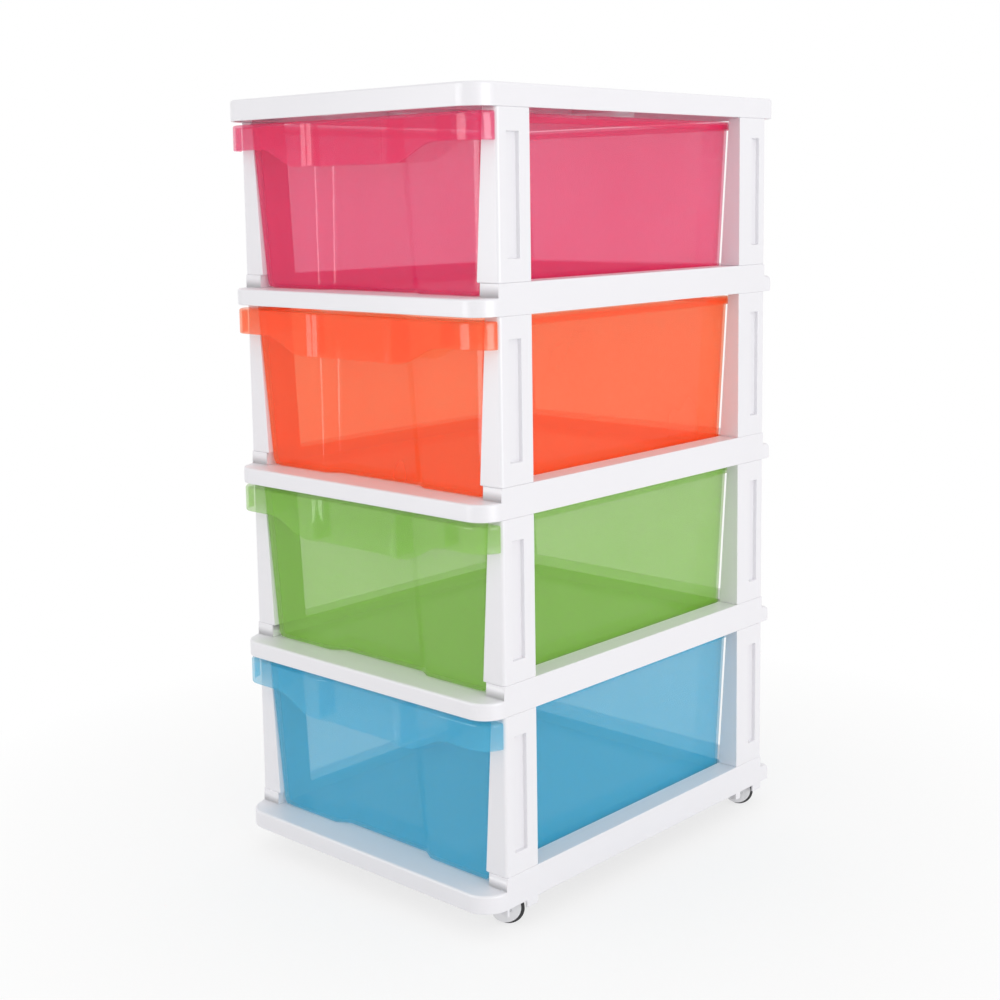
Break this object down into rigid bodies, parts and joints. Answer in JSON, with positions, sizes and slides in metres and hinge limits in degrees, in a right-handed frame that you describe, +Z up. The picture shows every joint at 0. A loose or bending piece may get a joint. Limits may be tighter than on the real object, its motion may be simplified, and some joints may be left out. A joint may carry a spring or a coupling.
{
  "type": "drawer tower",
  "caption": "Tall narrow storage tower on swivel castors, with stacked sliding drawers of translucent plastic in a white post-and-shelf frame.",
  "frame": {"origin": "on the floor under the middle of the tower's outline", "axes": "+Z up, the drawers open towards -Y, +X to the right seen from the front"},
  "size_m": [0.3, 0.397, 0.6645],
  "materials": {
    "white_frame": "satin moulded",
    "pink_plastic": "glossy translucent",
    "orange_plastic": "glossy translucent",
    "green_plastic": "glossy translucent",
    "blue_plastic": "glossy translucent",
    "white_castor": "satin moulded",
    "black_wheel": "matt",
    "zinc_steel": "zinc plated"
  },
  "bodies": {
    "tower": {"top_cap": "white_frame", "base": "white_frame", "shelf_1": "white_frame", "shelf_2": "white_frame", "shelf_3": "white_frame", "front_left_post_1": "white_frame", "front_right_post_1": "white_frame", "rear_left_post_1": "white_frame", "rear_right_post_1": "white_frame", "front_left_post_2": "white_frame", "front_right_post_2": "white_frame", "rear_left_post_2": "white_frame", "rear_right_post_2": "white_frame", "front_left_post_3": "white_frame", "front_right_post_3": "white_frame", "rear_left_post_3": "white_frame", "rear_right_post_3": "white_frame", "front_left_post_4": "white_frame", "front_right_post_4": "white_frame", "rear_left_post_4": "white_frame", "rear_right_post_4": "white_frame", "castor_plate_front_left": "zinc_steel", "castor_screws_front_left": "zinc_steel", "king_pin_front_left": "zinc_steel", "castor_plate_front_right": "zinc_steel", "castor_screws_front_right": "zinc_steel", "king_pin_front_right": "zinc_steel", "castor_plate_rear_left": "zinc_steel", "castor_screws_rear_left": "zinc_steel", "king_pin_rear_left": "zinc_steel", "castor_plate_rear_right": "zinc_steel", "castor_screws_rear_right": "zinc_steel", "king_pin_rear_right": "zinc_steel"},
    "blue_drawer": {"blue_drawer": "blue_plastic"},
    "green_drawer": {"green_drawer": "green_plastic"},
    "orange_drawer": {"orange_drawer": "orange_plastic"},
    "pink_drawer": {"pink_drawer": "pink_plastic"},
    "castor_front_left": {"fork_front_left": "white_castor", "axle_front_left": "zinc_steel"},
    "wheel_front_left": {"wheel_front_left": "black_wheel"},
    "castor_front_right": {"fork_front_right": "white_castor", "axle_front_right": "zinc_steel"},
    "wheel_front_right": {"wheel_front_right": "black_wheel"},
    "castor_rear_left": {"fork_rear_left": "white_castor", "axle_rear_left": "zinc_steel"},
    "wheel_rear_left": {"wheel_rear_left": "black_wheel"},
    "castor_rear_right": {"fork_rear_right": "white_castor", "axle_rear_right": "zinc_steel"},
    "wheel_rear_right": {"wheel_rear_right": "black_wheel"}
  },
  "joints": [
    {"name": "blue_drawer_slide", "type": "slide", "parent": "tower", "child": "blue_drawer", "axis": [0, -1, 0], "range_m": [0, 0.28]},
    {"name": "green_drawer_slide", "type": "slide", "parent": "tower", "child": "green_drawer", "axis": [0, -1, 0], "range_m": [0, 0.28]},
    {"name": "orange_drawer_slide", "type": "slide", "parent": "tower", "child": "orange_drawer", "axis": [0, -1, 0], "range_m": [0, 0.28]},
    {"name": "pink_drawer_slide", "type": "slide", "parent": "tower", "child": "pink_drawer", "axis": [0, -1, 0], "range_m": [0, 0.28]},
    {"name": "swivel_front_left", "type": "hinge", "parent": "tower", "child": "castor_front_left", "pos_m": [-0.1263, -0.161, 0.0285], "axis": [0, 0, 1], "continuous": true},
    {"name": "roll_front_left", "type": "hinge", "parent": "castor_front_left", "child": "wheel_front_left", "pos_m": [-0.12064, -0.15534, 0.0125], "axis": [0.7071, -0.7071, 0], "continuous": true},
    {"name": "swivel_front_right", "type": "hinge", "parent": "tower", "child": "castor_front_right", "pos_m": [0.1263, -0.161, 0.0285], "axis": [0, 0, 1], "continuous": true},
    {"name": "roll_front_right", "type": "hinge", "parent": "castor_front_right", "child": "wheel_front_right", "pos_m": [0.13196, -0.15534, 0.0125], "axis": [0.7071, -0.7071, 0], "continuous": true},
    {"name": "swivel_rear_left", "type": "hinge", "parent": "tower", "child": "castor_rear_left", "pos_m": [-0.1263, 0.169, 0.0285], "axis": [0, 0, 1], "continuous": true},
    {"name": "roll_rear_left", "type": "hinge", "parent": "castor_rear_left", "child": "wheel_rear_left", "pos_m": [-0.12064, 0.17466, 0.0125], "axis": [0.7071, -0.7071, 0], "continuous": true},
    {"name": "swivel_rear_right", "type": "hinge", "parent": "tower", "child": "castor_rear_right", "pos_m": [0.1263, 0.169, 0.0285], "axis": [0, 0, 1], "continuous": true},
    {"name": "roll_rear_right", "type": "hinge", "parent": "castor_rear_right", "child": "wheel_rear_right", "pos_m": [0.13196, 0.17466, 0.0125], "axis": [0.7071, -0.7071, 0], "continuous": true}
  ]
}
